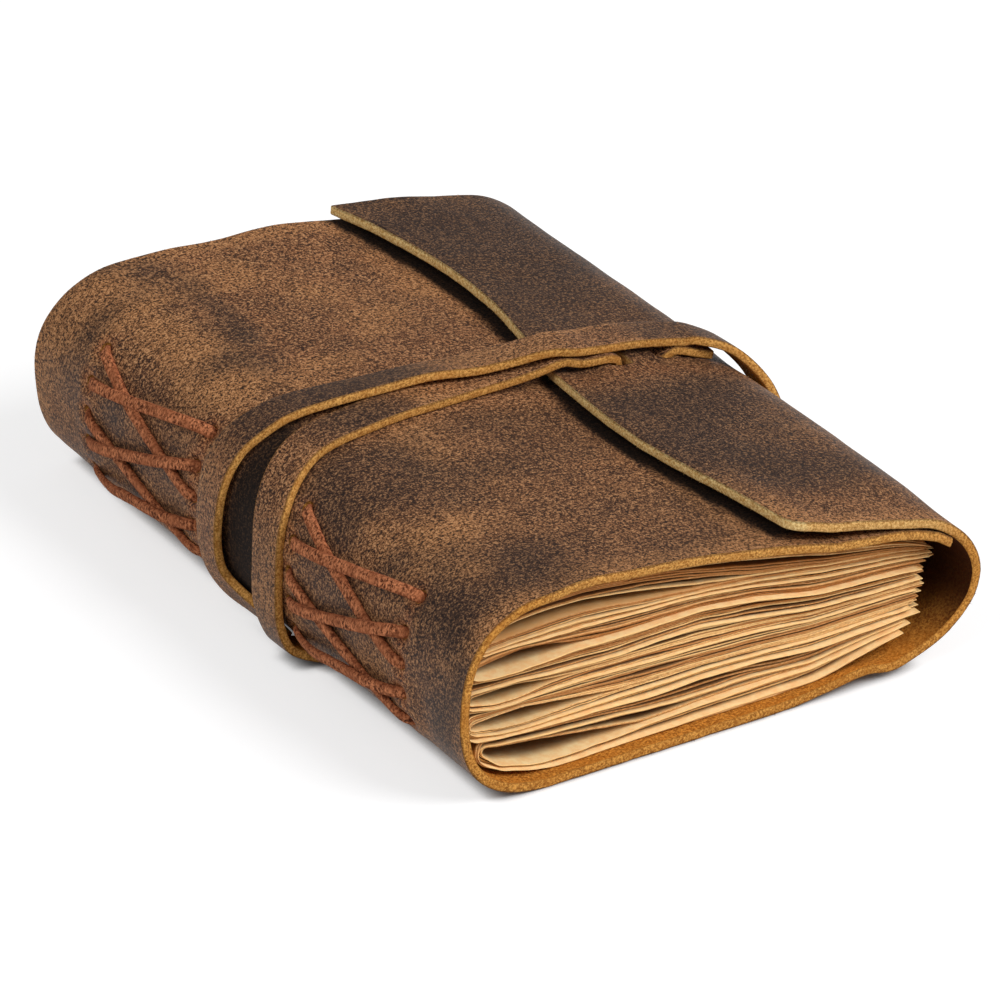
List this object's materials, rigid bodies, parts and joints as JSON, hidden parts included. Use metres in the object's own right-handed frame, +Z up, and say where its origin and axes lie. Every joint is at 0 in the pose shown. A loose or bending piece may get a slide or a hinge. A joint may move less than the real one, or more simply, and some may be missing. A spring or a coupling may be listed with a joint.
{
  "type": "leather journal",
  "caption": "Closed journal in one folded leather cover with a flap, laced signatures of rough-edged paper, and a flat leather strap wound twice round it.",
  "frame": {"origin": "bottom centre of the closed journal's box, on the surface it lies on", "axes": "+Y from the tail of the spine to its head, +X from the spine to the fore edge, +Z up out of the front cover"},
  "size_m": [0.1358, 0.178, 0.0505],
  "materials": {
    "cover_leather": "matt, waxed and scuffed",
    "strap_leather": "matt, waxed and scuffed",
    "lace_leather": "matt suede",
    "pages": "matt, rough-edged"
  },
  "bodies": {
    "root": {"cover": "cover_leather", "text_block": "pages", "strap": "strap_leather", "lace_head": "lace_leather", "lace_tail": "lace_leather"}
  },
  "joints": []
}
